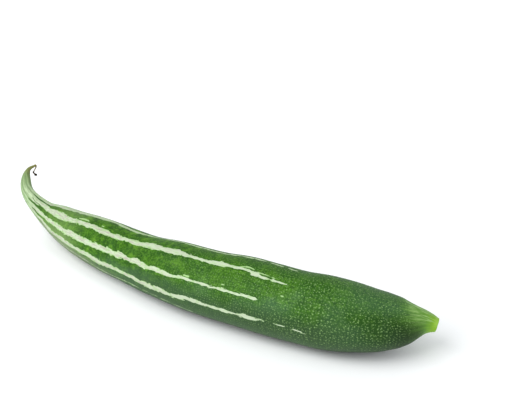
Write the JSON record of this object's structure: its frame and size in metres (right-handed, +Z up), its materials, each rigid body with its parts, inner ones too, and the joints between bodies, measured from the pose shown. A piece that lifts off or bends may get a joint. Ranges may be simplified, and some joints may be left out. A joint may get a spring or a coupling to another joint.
{
  "type": "snake gourd",
  "caption": "Long bowed gourd lying on its side, thick and blunt at its cut stalk, tapering to a thin hooked tail that carries the dry withered blossom.",
  "frame": {"origin": "on the ground, under the middle of the gourd's box", "axes": "+X towards the cut stalk, along the gourd; +Y towards the hollow side of its bow; +Z up"},
  "size_m": [0.3672, 0.0697, 0.0513],
  "materials": {
    "skin": "waxy green rind with ragged pale stripes along the tail half and fine pale speckles towards the stalk",
    "dry_blossom": "dry brown plant fibre, matt"
  },
  "bodies": {
    "root": {"fruit": "skin", "withered_blossom": "dry_blossom"}
  },
  "joints": []
}
